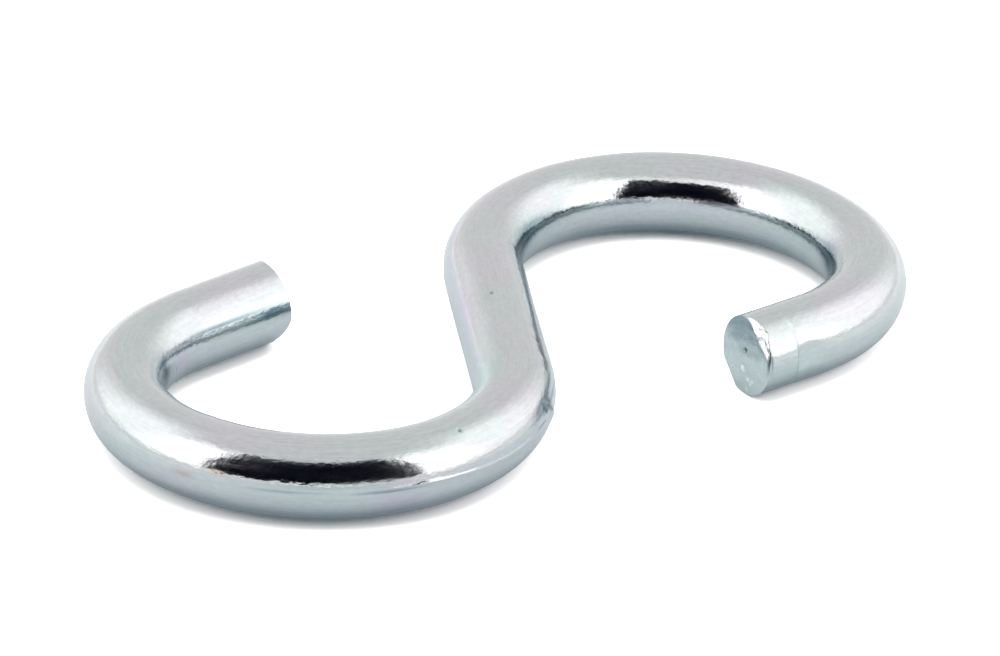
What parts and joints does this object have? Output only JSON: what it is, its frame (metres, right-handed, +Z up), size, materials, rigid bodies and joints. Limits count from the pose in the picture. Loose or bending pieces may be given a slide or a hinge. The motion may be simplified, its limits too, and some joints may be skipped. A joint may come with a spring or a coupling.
{
  "type": "s hook",
  "caption": "Open S hook bent from round zinc-plated steel wire: a loop at each end hangs a ring, rod, rope or chain link from another.",
  "frame": {"origin": "middle of the hook's footprint, on the surface that it lies on", "axes": "+X along the hook's length, through the middles of both crowns, towards the second loop; +Y across the hook, the way the first loop's tip lies; +Z up, across the wire's thickness"},
  "size_m": [0.0556, 0.0298, 0.005],
  "materials": {
    "zinc_plated_wire": "bright zinc plate with a clear blue passivate over drawn steel wire, satin with fine drawing lines"
  },
  "bodies": {
    "root": {"s_hook": "zinc_plated_wire"}
  },
  "joints": []
}
